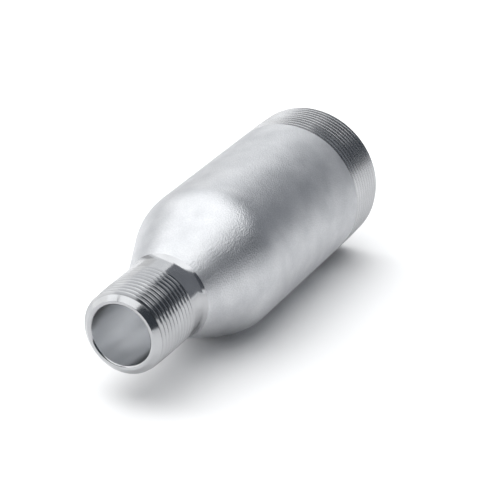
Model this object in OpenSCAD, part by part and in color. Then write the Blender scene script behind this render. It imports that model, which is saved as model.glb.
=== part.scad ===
// Concentric swage nipple: a straight large pipe end reduced to a small pipe end,
// with a taper pipe thread on both ends. All lengths are in millimetres.
// It stands on the face of its large end, with the pipe axis along +Z.

/* [Overall] */
// Length from end face to end face
total_len = 165.1; // [155:0.1:220]

/* [Large end] */
// Outside diameter of the large end
large_od = 60.3; // [52:0.1:70]
// Wall thickness of the large end
large_wall = 5.54; // [4.6:0.02:8]
// Straight length from the large face to the shoulder
large_len = 94; // [70:0.5:102]
// How far the thread crests lie under the pipe's surface at the large face
large_crest_drop = 0.45; // [0.1:0.05:0.8]
// Turns cut on the large end
large_turns = 10; // [4:1:14]
// Chamfer in front of the large thread
large_chamfer = 1.85; // [1:0.05:3]

/* [Small end] */
// Outside diameter of the small end
small_od = 33.4; // [28:0.1:42]
// Wall thickness of the small end
small_wall = 4.55; // [4:0.05:6]
// How far the thread crests lie under the pipe's surface at the small face
small_crest_drop = 0.4; // [0.1:0.05:0.7]
// Turns cut on the small end
small_turns = 11; // [4:1:12]
// Chamfer in front of the small thread
small_chamfer = 2.6; // [1:0.05:3]

/* [Reduction] */
// Radius the cone loses over each cone_run
cone_fall = 5; // [4:0.25:8]
// Length over which the cone loses cone_fall
cone_run = 12; // [10:0.25:14]
// Wall thickness of the cone, square to its surface
cone_wall = 5.5; // [4.5:0.05:7]
// Radius of the rounded shoulder outside
shoulder_r = 26; // [13:0.65:39]
// Radius of the hollow neck outside
neck_r = 9.75; // [5.2:0.65:19.5]
// Radius of the shoulder inside
inner_shoulder_r = 20.8; // [9.1:0.65:32.5]
// Radius of the neck inside
inner_neck_r = 13; // [6.5:0.65:24.05]

/* [Threads] */
// Distance from turn to turn
thread_pitch = 2.209; // [2:0.001:2.5]
// Depth of a full turn
thread_depth = 1.6; // [0.8:0.05:1.75]
// Flat at the bottom of each turn
root_flat = 0.2; // [0.1:0.02:0.3]
// Half of the angle between the flanks
flank_angle = 30; // [27.5:0.5:30]
// Length in which the thread grows by one unit of diameter
thread_taper = 16; // [12:1:24]

/* [Edges] */
// Bevel at the mouth of each bore
mouth_bevel = 0.5; // [0.2:0.05:0.8]

/* [Hidden] */
large_r = large_od / 2;
small_r = small_od / 2;
large_bore_r = large_r - large_wall;
small_bore_r = small_r - small_wall;
large_crest_r = large_r - large_crest_drop;
small_crest_r = small_r - small_crest_drop;
growth = 1 / (2 * thread_taper);
cone_side = sqrt(cone_fall * cone_fall + cone_run * cone_run);
cone_cos = cone_run / cone_side;
cone_sin = cone_fall / cone_side;
overrun = 1;
round_fn = 180;

// Radius at which a shoulder's arc runs into the cone
function cone_start_r(r, arc) = r - arc * (1 - cone_cos);

// Height a reduction takes from the start of its shoulder to the end of its neck
function reduction_len(r1, r2, arc1, arc2) =
  (arc1 + arc2) * cone_sin
  + (r1 - r2 - (arc1 + arc2) * (1 - cone_cos)) * cone_run / cone_fall;

// The bore's shoulder starts where it leaves cone_wall between the two cones
cone_step = cone_start_r(large_r, shoulder_r) - cone_start_r(large_bore_r, inner_shoulder_r);
bore_len = large_len + (shoulder_r - inner_shoulder_r) * cone_sin
  - (cone_wall - cone_step * cone_cos) / cone_sin;
neck_end = large_len + reduction_len(large_r, small_r, shoulder_r, neck_r);
bore_neck_end = bore_len
  + reduction_len(large_bore_r, small_bore_r, inner_shoulder_r, inner_neck_r);

// Filled half section of a reduction: rounded shoulder, cone, hollow neck
module reduction(r1, r2, arc1, arc2) {
  cone_r1 = cone_start_r(r1, arc1);
  cone_r2 = r2 + arc2 * (1 - cone_cos);
  cone_z1 = arc1 * cone_sin;
  cone_z2 = cone_z1 + (cone_r1 - cone_r2) * cone_run / cone_fall;
  neck_z = cone_z2 + arc2 * cone_sin;
  intersection() {
    translate([r1 - arc1, 0]) circle(arc1, $fn = round_fn);
    square([r1 + overrun, cone_z1]);
  }
  polygon([[0, cone_z1], [cone_r1, cone_z1], [cone_r2, cone_z2], [0, cone_z2]]);
  difference() {
    translate([0, cone_z2]) square([r2 + arc2, neck_z - cone_z2]);
    translate([r2 + arc2, neck_z]) circle(arc2, $fn = round_fn);
  }
}

// Height of a chamfer that meets the taper of the thread crests
function chamfer_len(chamfer) = chamfer / (1 - growth);

// Distance from the face at which the thread crests reach the plain pipe
function plain_from(drop, chamfer) = max(drop / growth, chamfer_len(chamfer) + root_flat);

// Filled half section of the large end: face, chamfer, thread taper, plain pipe
module large_end() {
  face_r = large_crest_r - large_chamfer;
  chamfer_z = chamfer_len(large_chamfer);
  polygon([
    [0, 0],
    [face_r, 0],
    [face_r + chamfer_z, chamfer_z],
    [large_r, plain_from(large_crest_drop, large_chamfer)],
    [large_r, large_len],
    [0, large_len]
  ]);
}

// Filled half section of the small end: plain pipe, thread taper, chamfer, face
module small_end() {
  face_r = small_crest_r - small_chamfer;
  chamfer_z = chamfer_len(small_chamfer);
  polygon([
    [0, neck_end],
    [small_r, neck_end],
    [small_r, total_len - plain_from(small_crest_drop, small_chamfer)],
    [face_r + chamfer_z, total_len - chamfer_z],
    [face_r, total_len],
    [0, total_len]
  ]);
}

// Turns of the thread, one groove at every pitch, deepest at the face
module thread_turns(r, crest, turns) {
  for (i = [1 : turns]) {
    z = i * thread_pitch;
    root = crest - thread_depth + z * growth;
    reach = r + overrun - root;
    half = root_flat / 2 + reach * tan(flank_angle);
    polygon([
      [root, z - root_flat / 2],
      [root + reach, z - half],
      [root + reach, z + half],
      [root, z + root_flat / 2]
    ]);
  }
}

// Bevel at the mouth of a bore whose face is at zero
module mouth(r) {
  polygon([
    [0, -overrun],
    [r + mouth_bevel + overrun, -overrun],
    [r, mouth_bevel],
    [0, mouth_bevel]
  ]);
}

// Places what is drawn from a face at zero at the small end's face
module at_small_face() {
  translate([0, total_len]) mirror([0, 1]) children();
}

module outside() {
  large_end();
  translate([0, large_len]) reduction(large_r, small_r, shoulder_r, neck_r);
  small_end();
}

module bore() {
  translate([0, -overrun]) square([large_bore_r, bore_len + overrun]);
  translate([0, bore_len]) {
    reduction(large_bore_r, small_bore_r, inner_shoulder_r, inner_neck_r);
  }
  translate([0, bore_neck_end]) square([small_bore_r, total_len - bore_neck_end + overrun]);
  mouth(large_bore_r);
  at_small_face() mouth(small_bore_r);
}

module swage_nipple() {
  color([0.74, 0.75, 0.76]) rotate_extrude($fn = round_fn) difference() {
    outside();
    bore();
    thread_turns(large_r, large_crest_r, large_turns);
    at_small_face() thread_turns(small_r, small_crest_r, small_turns);
  }
}

swage_nipple();
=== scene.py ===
from math import atan2, cos, hypot, pi, radians, sin, tan

import bmesh
import bpy
from mathutils import Matrix, Quaternion, Vector


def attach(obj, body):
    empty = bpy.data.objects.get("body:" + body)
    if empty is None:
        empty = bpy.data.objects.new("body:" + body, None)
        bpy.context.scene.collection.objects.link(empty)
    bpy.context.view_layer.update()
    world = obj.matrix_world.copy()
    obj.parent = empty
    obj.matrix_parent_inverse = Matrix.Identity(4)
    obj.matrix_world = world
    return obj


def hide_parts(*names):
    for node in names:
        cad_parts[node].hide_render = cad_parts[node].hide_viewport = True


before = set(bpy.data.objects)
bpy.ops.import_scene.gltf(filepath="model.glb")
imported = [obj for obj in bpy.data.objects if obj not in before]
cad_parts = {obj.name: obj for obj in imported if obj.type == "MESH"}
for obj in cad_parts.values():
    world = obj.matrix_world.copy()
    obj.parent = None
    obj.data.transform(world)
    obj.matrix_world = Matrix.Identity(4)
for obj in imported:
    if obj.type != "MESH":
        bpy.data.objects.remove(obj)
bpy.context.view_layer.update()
scene = bpy.context.scene
print("frame loaded:", ", ".join(sorted(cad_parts)))

# Metres throughout; the nipple stands on its large face with its axis on +Z
blank = {
    "length": 0.1651,
    "largeRadius": 0.03015,
    "largeBore": 0.02461,
    "largeStraight": 0.094,
    "largeFace": 0.02785,           # radius of the flat end face
    "largeChamfer": 0.0019097,
    "largeTaper": 0.0144,           # from the face to where the thread crests reach the pipe's radius
    "smallRadius": 0.0167,
    "smallBore": 0.01215,
    "smallFace": 0.0137,
    "smallChamfer": 0.002684,
    "smallTaper": 0.0128,
    "shoulderRound": 0.026,
    "neckRound": 0.00975,
    "boreShoulderRound": 0.0208,
    "boreNeckRound": 0.013,
    "boreStraight": 0.094036,
    "boreNeckEnd": 0.1307,
    "neckEnd": 0.13343,
    "coneAngle": atan2(5, 12),
    "mouthBevel": 0.0005,
    "cornerAngle": radians(25),     # corners sharper than this are broken
    "brokenEdge": 0.00009,
    "brokenSteps": 2,
    "seamGap": 1e-7,
    "roundSteps": 128,
    "arcSteps": 12,
}


def lineTo(bm, pen, radius, height):
    tip = bmesh.ops.extrude_vert_indiv(bm, verts=[pen])["verts"][0]
    tip.co = (radius, 0, height)
    return tip


def arcAbout(bm, pen, centre, angle, steps):
    swept = bmesh.ops.spin(bm, geom=[pen], cent=(centre[0], 0, centre[1]), axis=(0, -1, 0),
                           angle=angle, steps=steps)
    return [part for part in swept["geom_last"] if isinstance(part, bmesh.types.BMVert)][0]


def drawHalfSection(bm, size, threadEnd):
    cone = size["coneAngle"]
    steps = size["arcSteps"]
    top = size["length"]
    bevel = size["mouthBevel"]
    shoulder = (size["largeRadius"] - size["shoulderRound"], size["largeStraight"])
    neck = (size["smallRadius"] + size["neckRound"], size["neckEnd"])
    boreNeck = (size["smallBore"] + size["boreNeckRound"], size["boreNeckEnd"])
    boreShoulder = (size["largeBore"] - size["boreShoulderRound"], size["boreStraight"])
    first = bm.verts.new((size["largeBore"] + bevel, 0, 0))
    # large end, up the outside
    pen = lineTo(bm, first, size["largeFace"], 0)
    pen = lineTo(bm, pen, size["largeFace"] + size["largeChamfer"], size["largeChamfer"])
    pen = lineTo(bm, pen, size["largeRadius"], size["largeTaper"])
    pen = lineTo(bm, pen, size["largeRadius"], threadEnd)
    pen = lineTo(bm, pen, size["largeRadius"], size["largeStraight"])
    pen = arcAbout(bm, pen, shoulder, cone, steps)
    pen = lineTo(bm, pen, neck[0] - size["neckRound"] * cos(cone), neck[1] - size["neckRound"] * sin(cone))
    pen = arcAbout(bm, pen, neck, -cone, steps)
    # small end, over the face and into the bore
    pen = lineTo(bm, pen, size["smallRadius"], top - size["smallTaper"])
    pen = lineTo(bm, pen, size["smallFace"] + size["smallChamfer"], top - size["smallChamfer"])
    pen = lineTo(bm, pen, size["smallFace"], top)
    pen = lineTo(bm, pen, size["smallBore"] + bevel, top)
    pen = lineTo(bm, pen, size["smallBore"], top - bevel)
    # down the bore
    pen = lineTo(bm, pen, size["smallBore"], size["boreNeckEnd"])
    pen = arcAbout(bm, pen, boreNeck, cone, steps)
    pen = lineTo(bm, pen, boreShoulder[0] + size["boreShoulderRound"] * cos(cone),
                 boreShoulder[1] + size["boreShoulderRound"] * sin(cone))
    pen = arcAbout(bm, pen, boreShoulder, -cone, steps)
    pen = lineTo(bm, pen, size["largeBore"], bevel)
    bm.edges.new((pen, first))


def turnBlank(size, threadEnd):
    bm = bmesh.new()
    drawHalfSection(bm, size, threadEnd)
    bmesh.ops.spin(bm, geom=bm.verts[:] + bm.edges[:], cent=(0, 0, 0), axis=(0, 0, 1),
                   angle=2 * pi, steps=size["roundSteps"], use_merge=True)
    bmesh.ops.remove_doubles(bm, verts=bm.verts[:], dist=size["seamGap"])
    bmesh.ops.recalc_face_normals(bm, faces=bm.faces[:])
    corners = [edge for edge in bm.edges if edge.calc_face_angle(0) > size["cornerAngle"]]
    bmesh.ops.bevel(bm, geom=corners, offset=size["brokenEdge"], offset_type="OFFSET",
                    affect="EDGES", segments=size["brokenSteps"], profile=0.5, material=-1)
    return bm


largeThread = {
    "face": 0.0,
    "along": 1,                     # the turns climb from the face
    "crest": 0.0297,                # radius of the crests at the face
    "start": radians(199.6875),
    "cutLength": 0.02369,
}
smallThread = {
    "face": blank["length"],
    "along": -1,
    "crest": 0.0163,
    "start": radians(-81.5625),
    "cutLength": 0.02564,
}
threadForm = {
    "pitch": 0.002209,
    "depth": 0.00132,
    "rootFlat": 0.0002,
    "flank": radians(30),
    "crestRound": 0.00008,          # drop from a crest to where its flank starts
    "crestSlope": radians(60),
    "growth": 1 / 32,               # radius gained for each unit away from the face
    "overCut": 0.00003,
    "leadIn": 1.25,                 # turns cut in the air before the face
    "runOut": 0.2,                  # turns over which the tool is drawn away
    "stepsPerTurn": blank["roundSteps"],   # the same, so the facets line up
}


def threadTool(form, thread):
    bm = bmesh.new()
    pitch = form["pitch"]
    along = thread["along"]
    turn = along * 2 * pi / form["stepsPerTurn"]
    rise = along * pitch / form["stepsPerTurn"]
    travel = -form["leadIn"] * pitch
    angle = thread["start"] - along * 2 * pi * form["leadIn"]
    root = thread["crest"] - form["depth"] + travel * form["growth"]
    knee = form["depth"] - form["crestRound"]
    reach = form["depth"] + form["overCut"]
    rootHalf = form["rootFlat"] / 2
    kneeHalf = rootHalf + knee * tan(form["flank"])
    topHalf = kneeHalf + (reach - knee) * tan(form["crestSlope"])
    oneSide = [(0, rootHalf), (knee, kneeHalf), (reach, topHalf)]
    outline = oneSide + [(lift, -half) for lift, half in reversed(oneSide)]
    middle = thread["face"] + along * travel
    bm.faces.new([bm.verts.new((root + lift, 0, middle + half)) for lift, half in outline])
    bmesh.ops.rotate(bm, verts=bm.verts[:], cent=(0, 0, 0), matrix=Matrix.Rotation(angle, 3, "Z"))
    ring = bm.verts[:] + bm.edges[:] + bm.faces[:]
    runOutLength = form["runOut"] * pitch
    while travel < thread["cutLength"]:
        swept = bmesh.ops.spin(bm, geom=ring, cent=(0, 0, 0), axis=(0, 0, 1), angle=turn, steps=1,
                               dvec=(0, 0, rise))
        ring = swept["geom_last"]
        angle += turn
        travel += abs(rise)
        away = abs(rise) * form["growth"]
        if travel > thread["cutLength"] - runOutLength:
            away += form["depth"] * abs(rise) / runOutLength
        moved = [part for part in ring if isinstance(part, bmesh.types.BMVert)]
        bmesh.ops.translate(bm, verts=moved, vec=(away * cos(angle), away * sin(angle), 0))
    bmesh.ops.holes_fill(bm, edges=[edge for edge in bm.edges if edge.is_boundary])
    bmesh.ops.recalc_face_normals(bm, faces=bm.faces[:])
    return bm


def meshObject(name, bm):
    mesh = bpy.data.meshes.new(name)
    bm.to_mesh(mesh)
    bm.free()
    made = bpy.data.objects.new(name, mesh)
    scene.collection.objects.link(made)
    return made


def cutThreads(body, tools):
    for tool in tools:
        cut = body.modifiers.new("thread", "BOOLEAN")
        cut.operation = "DIFFERENCE"
        cut.solver = "EXACT"
        cut.object = tool
    graph = bpy.context.evaluated_depsgraph_get()
    cutMesh = bpy.data.meshes.new_from_object(body.evaluated_get(graph))
    body.modifiers.clear()
    uncut = body.data
    body.data = cutMesh
    bpy.data.meshes.remove(uncut)
    for tool in tools:
        toolMesh = tool.data
        bpy.data.objects.remove(tool)
        bpy.data.meshes.remove(toolMesh)


finishSlots = {"blasted": 0, "turned": 1, "bore": 2, "chased": 3}
finishZones = {
    "largeThreadEnd": 0.0228,
    "largeRunOut": 0.025,
    "skinDepth": 0.00002,           # deeper than this is cut metal
    "neckStart": blank["neckEnd"] - blank["neckRound"] * sin(blank["coneAngle"]),
    "boreLean": -0.3,               # faces that turn further inward than this line the bore
    "sharpAngle": radians(28),
    "weldGap": 2e-6,
    "shortEdge": 1e-6,
    "chipArea": 1e-8,               # faces this small are split before they can fold
}


def markFinishes(mesh, zones, size):
    bm = bmesh.new()
    bm.from_mesh(mesh)
    bmesh.ops.remove_doubles(bm, verts=bm.verts[:], dist=zones["weldGap"])
    bmesh.ops.dissolve_degenerate(bm, edges=bm.edges[:], dist=zones["shortEdge"])
    chips = [face for face in bm.faces if len(face.verts) > 4 or face.calc_area() < zones["chipArea"]]
    bmesh.ops.triangulate(bm, faces=chips)
    for face in bm.faces:
        face.smooth = True
        middle = face.calc_center_median()
        radius = hypot(middle.x, middle.y)
        outward = (face.normal.x * middle.x + face.normal.y * middle.y) / radius
        behindFaces = size["mouthBevel"] < middle.z < size["length"] - size["mouthBevel"]
        cutMetal = radius < size["largeRadius"] - zones["skinDepth"]
        chasedEnd = zones["largeRunOut"] if cutMetal else zones["largeThreadEnd"]
        if outward < zones["boreLean"] and behindFaces:
            finish = "bore"
        elif middle.z > zones["neckStart"]:
            finish = "turned"
        elif middle.z < chasedEnd:
            finish = "chased"
        else:
            finish = "blasted"
        face.material_index = finishSlots[finish]
    for edge in bm.edges:
        edge.smooth = edge.calc_face_angle(0) < zones["sharpAngle"]
    bm.to_mesh(mesh)
    bm.free()


swageNipple = meshObject("swage_nipple_body", turnBlank(blank, finishZones["largeThreadEnd"]))
cutThreads(swageNipple, [meshObject("largeTool", threadTool(threadForm, largeThread)),
                         meshObject("smallTool", threadTool(threadForm, smallThread))])
print("swage nipple turned and threaded:", len(swageNipple.data.polygons), "faces")

noiseSpan = (0.3, 0.7)              # nearly all of a noise's values lie between these
fineDetail = 3                      # layers of noise in the cloud and the streaks


def addNode(tree, kind, place, **values):
    node = tree.nodes.new(kind)
    node.location = place
    for key, value in values.items():
        setattr(node, key, value)
    return node


def startGroup(name, ins, outs):
    group = bpy.data.node_groups.new(name, "ShaderNodeTree")
    for label in ins:
        kind = "NodeSocketVector" if label == "Vector" else "NodeSocketFloat"
        group.interface.new_socket(label, in_out="INPUT", socket_type=kind)
    for label in outs:
        group.interface.new_socket(label, in_out="OUTPUT", socket_type="NodeSocketFloat")
    return group


def placeGroup(tree, place, group, point, values):
    node = addNode(tree, "ShaderNodeGroup", place, node_tree=group)
    tree.links.new(point, node.inputs["Vector"])
    for label, value in values.items():
        node.inputs[label].default_value = value
    return node


def spread(tree, place, low, high, fromLow=0.0, fromHigh=1.0):
    node = addNode(tree, "ShaderNodeMapRange", place)
    node.inputs["From Min"].default_value = fromLow
    node.inputs["From Max"].default_value = fromHigh
    node.inputs["To Min"].default_value = low
    node.inputs["To Max"].default_value = high
    return node


# The point with its height dropped
def addPlan(tree, place, point):
    node = addNode(tree, "ShaderNodeVectorMath", place, operation="MULTIPLY")
    node.inputs[1].default_value = (1, 1, 0)
    tree.links.new(point, node.inputs[0])
    return node


# A mix of two tones: its factor, first tone, second tone and result
def addToneMix(tree, place):
    node = addNode(tree, "ShaderNodeMix", place, data_type="RGBA")
    return node.inputs[0], node.inputs[6], node.inputs[7], node.outputs[2]


# Peened skin left by blasting: fine dimples and a faint cloud
def makeBlastedSkin():
    group = startGroup("blastedSkin", ["Vector", "Grain Scale", "Cloud Scale"], ["Dimples", "Cloud"])
    link = group.links.new
    into = addNode(group, "NodeGroupInput", (-700, 0))
    out = addNode(group, "NodeGroupOutput", (300, 0))
    grain = addNode(group, "ShaderNodeTexVoronoi", (-400, 150))
    cloud = addNode(group, "ShaderNodeTexNoise", (-400, -150))
    cloud.inputs["Detail"].default_value = fineDetail
    link(into.outputs["Vector"], grain.inputs["Vector"])
    link(into.outputs["Grain Scale"], grain.inputs["Scale"])
    link(into.outputs["Vector"], cloud.inputs["Vector"])
    link(into.outputs["Cloud Scale"], cloud.inputs["Scale"])
    link(grain.outputs["Distance"], out.inputs["Dimples"])
    link(cloud.outputs["Fac"], out.inputs["Cloud"])
    return group


# Rings that a lathe tool leaves: noise that changes with radius and height only
def makeTurningRings():
    group = startGroup("turningRings", ["Vector", "Ring Scale", "Smear"], ["Rings", "Smears"])
    link = group.links.new
    into = addNode(group, "NodeGroupInput", (-900, 0))
    out = addNode(group, "NodeGroupOutput", (500, 0))
    plan = addPlan(group, (-700, 100), into.outputs["Vector"])
    radius = addNode(group, "ShaderNodeVectorMath", (-500, 100), operation="LENGTH")
    parts = addNode(group, "ShaderNodeSeparateXYZ", (-700, -100))
    join = addNode(group, "ShaderNodeCombineXYZ", (-300, 0))
    rings = addNode(group, "ShaderNodeTexNoise", (0, 100))
    smears = addNode(group, "ShaderNodeTexNoise", (0, -200))
    link(plan.outputs[0], radius.inputs[0])
    link(into.outputs["Vector"], parts.inputs[0])
    link(radius.outputs["Value"], join.inputs["X"])
    link(parts.outputs["Z"], join.inputs["Z"])
    link(join.outputs[0], rings.inputs["Vector"])
    link(into.outputs["Ring Scale"], rings.inputs["Scale"])
    link(into.outputs["Vector"], smears.inputs["Vector"])
    link(into.outputs["Smear"], smears.inputs["Scale"])
    link(rings.outputs["Fac"], out.inputs["Rings"])
    link(smears.outputs["Fac"], out.inputs["Smears"])
    return group


# Painted shade in the thread roots, fading in away from the end face
paintedGrooveShade = {
    "startsAt": 0.0005,             # distance from the end face, which stays clear of it
    "fullAt": 0.0009,
    "curve": 1.8,                   # above 1 keeps the painted shade down in the roots
}


# How deep a point lies in a thread: 0 on the crests and on plain metal, 1 at the roots; it places the
# painted root shade
def makeGrooveDepth(shade, form):
    group = startGroup("grooveDepth", ["Vector", "Face", "Face Radius", "Crest", "Pipe Radius"], ["Depth"])
    link = group.links.new
    into = addNode(group, "NodeGroupInput", (-1100, 0))
    out = addNode(group, "NodeGroupOutput", (700, 0))
    parts = addNode(group, "ShaderNodeSeparateXYZ", (-900, -100))
    plan = addPlan(group, (-900, 150), into.outputs["Vector"])
    radius = addNode(group, "ShaderNodeVectorMath", (-700, 150), operation="LENGTH")
    offset = addNode(group, "ShaderNodeMath", (-700, -100), operation="SUBTRACT")
    inward = addNode(group, "ShaderNodeMath", (-500, -100), operation="ABSOLUTE")
    taper = addNode(group, "ShaderNodeMath", (-300, 0), operation="MULTIPLY_ADD")
    taper.inputs[1].default_value = form["growth"]
    chamfer = addNode(group, "ShaderNodeMath", (-300, -200), operation="ADD")
    lower = addNode(group, "ShaderNodeMath", (-100, -50), operation="MINIMUM")
    skin = addNode(group, "ShaderNodeMath", (50, -50), operation="MINIMUM")
    under = addNode(group, "ShaderNodeMath", (200, 50), operation="SUBTRACT")
    share = spread(group, (350, 50), 0, 1, 0, form["depth"])
    offFace = spread(group, (200, -250), 0, 1, shade["startsAt"], shade["fullAt"])
    deep = addNode(group, "ShaderNodeMath", (450, 150), operation="POWER")
    deep.inputs[1].default_value = shade["curve"]
    depth = addNode(group, "ShaderNodeMath", (520, 0), operation="MULTIPLY")
    link(into.outputs["Vector"], parts.inputs[0])
    link(plan.outputs[0], radius.inputs[0])
    link(parts.outputs["Z"], offset.inputs[0])
    link(into.outputs["Face"], offset.inputs[1])
    link(offset.outputs[0], inward.inputs[0])
    link(inward.outputs[0], taper.inputs[0])
    link(into.outputs["Crest"], taper.inputs[2])
    link(inward.outputs[0], chamfer.inputs[0])
    link(into.outputs["Face Radius"], chamfer.inputs[1])
    link(taper.outputs[0], lower.inputs[0])
    link(chamfer.outputs[0], lower.inputs[1])
    link(lower.outputs[0], skin.inputs[0])
    link(into.outputs["Pipe Radius"], skin.inputs[1])
    link(skin.outputs[0], under.inputs[0])
    link(radius.outputs["Value"], under.inputs[1])
    link(under.outputs[0], share.inputs["Value"])
    link(inward.outputs[0], offFace.inputs["Value"])
    link(share.outputs[0], deep.inputs[0])
    link(deep.outputs[0], depth.inputs[0])
    link(offFace.outputs[0], depth.inputs[1])
    link(depth.outputs[0], out.inputs["Depth"])
    return group


def bareMaterial(name):
    material = bpy.data.materials.new(name)
    material.use_nodes = True
    tree = material.node_tree
    tree.nodes.clear()
    out = addNode(tree, "ShaderNodeOutputMaterial", (600, 0))
    return material, tree, out


def startSteel(name):
    material, tree, out = bareMaterial(name)
    shader = addNode(tree, "ShaderNodeBsdfPrincipled", (300, 0))
    shader.inputs["Metallic"].default_value = 1
    tree.links.new(shader.outputs[0], out.inputs["Surface"])
    coords = addNode(tree, "ShaderNodeTexCoord", (-1100, 0))
    return material, tree, shader, coords.outputs["Object"]


def toneRamp(tree, place, finish, span):
    node = addNode(tree, "ShaderNodeValToRGB", place)
    tones = (finish["darkTone"], finish["lightTone"])
    for stop, position, tone in zip(node.color_ramp.elements, span, tones):
        stop.position = position
        stop.color = (*tone, 1)
    return node


def addBump(tree, finish, height, shader):
    bump = addNode(tree, "ShaderNodeBump", (0, -250))
    bump.inputs["Strength"].default_value = finish["bump"]
    bump.inputs["Distance"].default_value = finish["bumpDepth"]
    tree.links.new(height, bump.inputs["Height"])
    tree.links.new(bump.outputs[0], shader.inputs["Normal"])


blastedFinish = {
    "grainScale": 1700.0,
    "cloudScale": 110.0,
    "darkTone": (0.57, 0.58, 0.597),
    "lightTone": (0.685, 0.692, 0.705),
    "speckle": (0.96, 1.04),
    "straight": (0.03, 0.53),       # height and roughness near the large thread
    "cone": (0.088, 0.36),          # and on the cone
    "patchy": (-0.02, 0.02),
    "gritty": (-0.03, 0.03),
    "bump": 1.0,
    "bumpDepth": 0.00009,
}


def makeBlastedSteel(finish, skin):
    material, tree, shader, point = startSteel("blastedSteel")
    link = tree.links.new
    grain = placeGroup(tree, (-600, 0), skin, point,
                       {"Grain Scale": finish["grainScale"], "Cloud Scale": finish["cloudScale"]})
    tone = toneRamp(tree, (-200, 250), finish, noiseSpan)
    speckle = spread(tree, (-200, 450), *finish["speckle"], *noiseSpan)
    dotted = addNode(tree, "ShaderNodeVectorMath", (50, 300), operation="SCALE")
    link(grain.outputs["Cloud"], tone.inputs[0])
    link(grain.outputs["Dimples"], speckle.inputs["Value"])
    link(tone.outputs[0], dotted.inputs[0])
    link(speckle.outputs[0], dotted.inputs["Scale"])
    link(dotted.outputs[0], shader.inputs["Base Color"])
    # smoother towards the cone, a little uneven all over
    lowHeight, lowRough = finish["straight"]
    coneHeight, coneRough = finish["cone"]
    parts = addNode(tree, "ShaderNodeSeparateXYZ", (-600, -200))
    along = spread(tree, (-400, -200), lowRough, coneRough, lowHeight, coneHeight)
    patchy = spread(tree, (-400, 0), *finish["patchy"], *noiseSpan)
    gritty = spread(tree, (-400, 200), *finish["gritty"], *noiseSpan)
    uneven = addNode(tree, "ShaderNodeMath", (-200, -50), operation="ADD")
    rough = addNode(tree, "ShaderNodeMath", (-50, -50), operation="ADD")
    link(point, parts.inputs[0])
    link(parts.outputs["Z"], along.inputs["Value"])
    link(grain.outputs["Cloud"], patchy.inputs["Value"])
    link(grain.outputs["Dimples"], gritty.inputs["Value"])
    link(patchy.outputs[0], uneven.inputs[0])
    link(gritty.outputs[0], uneven.inputs[1])
    link(along.outputs[0], rough.inputs[0])
    link(uneven.outputs[0], rough.inputs[1])
    link(rough.outputs[0], shader.inputs["Roughness"])
    addBump(tree, finish, grain.outputs["Dimples"], shader)
    return material


turnedFinish = {
    "ringScale": 5200.0,
    "smear": 160.0,
    "darkTone": (0.50, 0.505, 0.515),
    "lightTone": (0.555, 0.56, 0.57),
    # painted shade at the thread roots
    "paintedRootShade": (0.28, 0.285, 0.29),
    "roughness": (0.11, 0.18),
    "bump": 0.03,
    "bumpDepth": 0.00002,
    "thread": smallThread,
    "faceRadius": blank["smallFace"],
    "pipeRadius": blank["smallRadius"],
}
chasedFinish = {
    "ringScale": 5200.0,
    "smear": 160.0,
    "darkTone": (0.58, 0.585, 0.595),
    "lightTone": (0.64, 0.645, 0.655),
    # painted shade at the thread roots
    "paintedRootShade": (0.12, 0.124, 0.13),
    "roughness": (0.20, 0.27),
    "bump": 0.03,
    "bumpDepth": 0.00002,
    "thread": largeThread,
    "faceRadius": blank["largeFace"],
    "pipeRadius": blank["largeRadius"],
}


# Turned metal, with painted shade that darkens it down in the thread roots
def makeTurnedSteel(name, finish, rings, groove):
    material, tree, shader, point = startSteel(name)
    link = tree.links.new
    marks = placeGroup(tree, (-600, 0), rings, point,
                       {"Ring Scale": finish["ringScale"], "Smear": finish["smear"]})
    well = placeGroup(tree, (-600, 300), groove, point,
                      {"Face": finish["thread"]["face"], "Face Radius": finish["faceRadius"],
                       "Crest": finish["thread"]["crest"], "Pipe Radius": finish["pipeRadius"]})
    tone = toneRamp(tree, (-200, 250), finish, noiseSpan)
    # painted shade: a darker tone mixed in by groove depth, down in the roots
    sinking, plainTone, paintedRootShade, shaded = addToneMix(tree, (50, 300))
    paintedRootShade.default_value = (*finish["paintedRootShade"], 1)
    link(marks.outputs["Smears"], tone.inputs[0])
    link(well.outputs["Depth"], sinking)
    link(tone.outputs[0], plainTone)
    link(shaded, shader.inputs["Base Color"])
    rough = spread(tree, (-200, 0), *finish["roughness"])
    link(marks.outputs["Rings"], rough.inputs["Value"])
    link(rough.outputs[0], shader.inputs["Roughness"])
    addBump(tree, finish, marks.outputs["Rings"], shader)
    return material


boreFinish = {
    "streakScale": 150.0,
    "streakSquash": 0.03,           # small makes the streaks long
    "streakGain": 0.4,
    "darkTone": (0.735, 0.744, 0.758),
    "lightTone": (0.98, 0.99, 1.0),
    "paintedHighlightAt": radians(25),          # where a painted highlight streak runs along the bore
    "paintedHighlightFrom": 0.86,
    "paintedHighlightGain": 0.85,
    "roughness": (0.24, 0.34),
}
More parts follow.
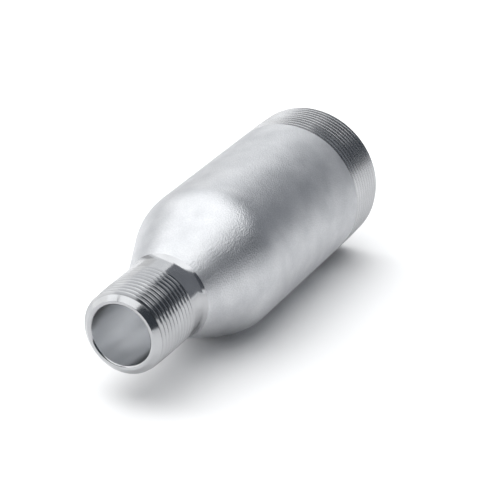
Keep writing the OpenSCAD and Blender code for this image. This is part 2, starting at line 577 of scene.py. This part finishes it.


# Drawn pipe, streaked along its length, with one painted highlight streak along the bore at a fixed angle
def makeBoreSteel(finish):
    material, tree, shader, point = startSteel("boreSteel")
    link = tree.links.new
    stretch = addNode(tree, "ShaderNodeMapping", (-900, 0))
    stretch.inputs["Scale"].default_value = (1, 1, finish["streakSquash"])
    streaks = addNode(tree, "ShaderNodeTexNoise", (-650, 0))
    streaks.inputs["Scale"].default_value = finish["streakScale"]
    streaks.inputs["Detail"].default_value = fineDetail
    plan = addPlan(tree, (-900, -300), point)
    outward = addNode(tree, "ShaderNodeVectorMath", (-700, -300), operation="NORMALIZE")
    facing = addNode(tree, "ShaderNodeVectorMath", (-500, -300), operation="DOT_PRODUCT")
    facing.inputs[1].default_value = (cos(finish["paintedHighlightAt"]), sin(finish["paintedHighlightAt"]), 0)
    # painted highlight: a lighter streak on the part of the bore wall that faces one fixed direction
    paintedHighlight = spread(tree, (-350, -300), 0, finish["paintedHighlightGain"], finish["paintedHighlightFrom"], 1)
    paintedHighlight.interpolation_type = "SMOOTHSTEP"
    paler = spread(tree, (-400, 100), 0, finish["streakGain"], *noiseSpan)
    both = addNode(tree, "ShaderNodeMath", (-250, 0), operation="ADD")
    tone = toneRamp(tree, (-50, 150), finish, (0, 1))
    rough = spread(tree, (-50, -150), *finish["roughness"])
    link(point, stretch.inputs["Vector"])
    link(stretch.outputs[0], streaks.inputs["Vector"])
    link(streaks.outputs["Fac"], paler.inputs["Value"])
    link(plan.outputs[0], outward.inputs[0])
    link(outward.outputs[0], facing.inputs[0])
    link(facing.outputs["Value"], paintedHighlight.inputs["Value"])
    link(paler.outputs[0], both.inputs[0])
    link(paintedHighlight.outputs[0], both.inputs[1])
    link(both.outputs[0], tone.inputs[0])
    link(tone.outputs[0], shader.inputs["Base Color"])
    link(streaks.outputs["Fac"], rough.inputs["Value"])
    link(rough.outputs[0], shader.inputs["Roughness"])
    return material


ringGroup = makeTurningRings()
grooveGroup = makeGrooveDepth(paintedGrooveShade, threadForm)
steels = {
    "blasted": makeBlastedSteel(blastedFinish, makeBlastedSkin()),
    "turned": makeTurnedSteel("turnedSteel", turnedFinish, ringGroup, grooveGroup),
    "bore": makeBoreSteel(boreFinish),
    "chased": makeTurnedSteel("chasedSteel", chasedFinish, ringGroup, grooveGroup),
}
swageNipple.data.materials.clear()
for finishName in finishSlots:
    swageNipple.data.materials.append(steels[finishName])
markFinishes(swageNipple.data, finishZones, blank)
evenShading = swageNipple.modifiers.new("evenShading", "WEIGHTED_NORMAL")
evenShading.keep_sharp = True
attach(swageNipple, "root")
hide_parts("swage_nipple")
print("finishes:", ", ".join(material.name for material in swageNipple.data.materials))

# The nipple is pictured lying on its side, so the stage has its own right, away and up
stage = {
    "right": Vector((-0.896436, 0, -0.443172)),
    "away": Vector((0.443172, 0, -0.896436)),
    "up": Vector((0, -1, 0)),
    "origin": Vector((0, 0.0302, 0.0826)),   # on the floor, under the middle of the nipple
}
stageTurn = Matrix((stage["right"], stage["away"], stage["up"])).transposed().to_4x4()
stagePlace = Matrix.Translation(stage["origin"]) @ stageTurn


def stageObject(name, bm, material):
    bmesh.ops.transform(bm, matrix=stagePlace, verts=bm.verts[:])
    made = meshObject(name, bm)
    made.data.materials.append(material)
    return made


floorSetting = {
    "radius": 1.4,
    "steps": 96,
    "seenTone": (0.97, 0.97, 0.97),
    "tone": (0.77, 0.77, 0.775),
}


# Pale floor that is only there from its upper side; it is whiter to the eye than in the metal
def makeFloorPaint(setting):
    material, tree, out = bareMaterial("floorPaint")
    link = tree.links.new
    side = addNode(tree, "ShaderNodeNewGeometry", (-300, 300))
    mix = addNode(tree, "ShaderNodeMixShader", (400, 0))
    clear = addNode(tree, "ShaderNodeBsdfTransparent", (100, -200))
    paint = addNode(tree, "ShaderNodeBsdfDiffuse", (100, 100))
    path = addNode(tree, "ShaderNodeLightPath", (-500, 0))
    seen, tone, seenTone, mixed = addToneMix(tree, (-200, 0))
    tone.default_value = (*setting["tone"], 1)
    seenTone.default_value = (*setting["seenTone"], 1)
    link(path.outputs["Is Camera Ray"], seen)
    link(mixed, paint.inputs["Color"])
    link(side.outputs["Backfacing"], mix.inputs["Fac"])
    link(paint.outputs[0], mix.inputs[1])
    link(clear.outputs[0], mix.inputs[2])
    link(mix.outputs[0], out.inputs["Surface"])
    return material


floorMesh = bmesh.new()
bmesh.ops.create_circle(floorMesh, cap_ends=True, radius=floorSetting["radius"],
                        segments=floorSetting["steps"])
stageObject("floor", floorMesh, makeFloorPaint(floorSetting))

# Curved cards round the stage, out of the picture, that the metal reflects.
# Angles are in degrees from straight away, turning right.
cardRadius = 0.9
cardSteps = 32
cards = {
    "sideCard": {"from": 18, "to": 92, "low": 0.06, "high": 1.06, "tone": (0.208, 0.22, 0.243)},
    "cornerCard": {"from": 92, "to": 138, "low": 0.16, "high": 1.0, "tone": (0.09, 0.098, 0.114)},
    "nearCard": {"from": 138, "to": 210, "low": 0.055, "high": 0.98, "tone": (0.058, 0.066, 0.078)},
    "gapCard": {"from": 210, "to": 254, "low": 0.63, "high": 1.0, "tone": (0.15, 0.155, 0.165)},
    "duskCard": {"from": -46, "to": -17, "low": 0.14, "high": 0.42, "tone": (0.56, 0.565, 0.575)},
    "paleCard": {"from": -17, "to": 18, "low": 0.002, "high": 0.38, "tone": (0.82, 0.825, 0.83)},
    "leftCard": {"from": -116, "to": -50, "low": 0.002, "high": 0.55, "tone": (1.32, 1.325, 1.33)},
}


def makeCardPaint(name, tone):
    material, tree, out = bareMaterial(name)
    glow = addNode(tree, "ShaderNodeEmission", (300, 0))
    glow.inputs["Color"].default_value = (*tone, 1)
    tree.links.new(glow.outputs[0], out.inputs["Surface"])
    return material


def addCard(name, card):
    bm = bmesh.new()
    ends = [bm.verts.new((0, cardRadius, height)) for height in (card["low"], card["high"])]
    bm.edges.new(ends)
    start = radians(card["from"])
    end = radians(card["to"])
    bmesh.ops.rotate(bm, verts=ends, cent=(0, 0, 0), matrix=Matrix.Rotation(-start, 3, "Z"))
    bmesh.ops.spin(bm, geom=bm.verts[:] + bm.edges[:], cent=(0, 0, 0), axis=(0, 0, -1),
                   angle=end - start, steps=cardSteps)
    stageObject(name, bm, makeCardPaint(name, card["tone"])).visible_camera = False


for cardName, card in cards.items():
    addCard(cardName, card)
print("floor laid,", len(cards), "cards set round it")

softBox = {
    "size": 3.0,
    "height": 1.2,
    "right": -0.66,
    "away": 0.25,
    "power": 13.0,
    "tone": (1, 0.995, 0.985),
}
floorLamp = {
    "size": 2.2,
    "height": 1.15,
    "right": -0.55,
    "away": -0.25,
    "power": 8.0,
    "tone": (1, 0.99, 0.975),
}


def addLamp(name, setting):
    light = bpy.data.lights.new(name, "AREA")
    light.shape = "DISK"
    light.size = setting["size"]
    light.energy = setting["power"]
    light.color = setting["tone"]
    lamp = bpy.data.objects.new(name, light)
    scene.collection.objects.link(lamp)
    place = Matrix.Translation((setting["right"], setting["away"], setting["height"]))
    lamp.matrix_world = stagePlace @ place
    return lamp


addLamp("softBox", softBox)
addLamp("floorLamp", floorLamp).visible_glossy = False   # so the metal doesn't show it

paleRoom = {"seen": 1.0, "fill": 1.2, "tone": (0.97, 0.987, 1.008)}


# White to the eye and in the metal, a little stronger where it fills the floor's shadow
def makePaleRoom(room):
    world = bpy.data.worlds.new("paleRoom")
    world.use_nodes = True
    tree = world.node_tree
    tree.nodes.clear()
    link = tree.links.new
    out = addNode(tree, "ShaderNodeOutputWorld", (400, 0))
    air = addNode(tree, "ShaderNodeBackground", (200, 0))
    air.inputs["Color"].default_value = (*room["tone"], 1)
    path = addNode(tree, "ShaderNodeLightPath", (-200, 0))
    level = spread(tree, (0, 0), room["seen"], room["fill"])
    link(path.outputs["Is Diffuse Ray"], level.inputs["Value"])
    link(level.outputs[0], air.inputs["Strength"])
    link(air.outputs[0], out.inputs["Surface"])
    return world


scene.world = makePaleRoom(paleRoom)

cameraSetting = {
    "place": Vector((-0.353314, -0.365791, 0.774559)),
    "target": Vector((-0.00509, 0.004917, 0.070181)),
    "roll": radians(-130.797),
    "sensor": 36,                   # millimetres, as the lens
    "lens": 158.738,
    "clipEnd": 20,
}


def addCamera(setting):
    data = bpy.data.cameras.new("pictureCamera")
    data.sensor_width = setting["sensor"]
    data.lens = setting["lens"]
    data.clip_end = setting["clipEnd"]
    camera = bpy.data.objects.new("pictureCamera", data)
    scene.collection.objects.link(camera)
    look = (setting["target"] - setting["place"]).to_track_quat("-Z", "Y")
    camera.rotation_mode = "QUATERNION"
    camera.rotation_quaternion = look @ Quaternion((0, 0, 1), setting["roll"])
    camera.location = setting["place"]
    return camera


scene.camera = addCamera(cameraSetting)
scene.view_settings.view_transform = "Standard"
print("lamps, room and camera set")
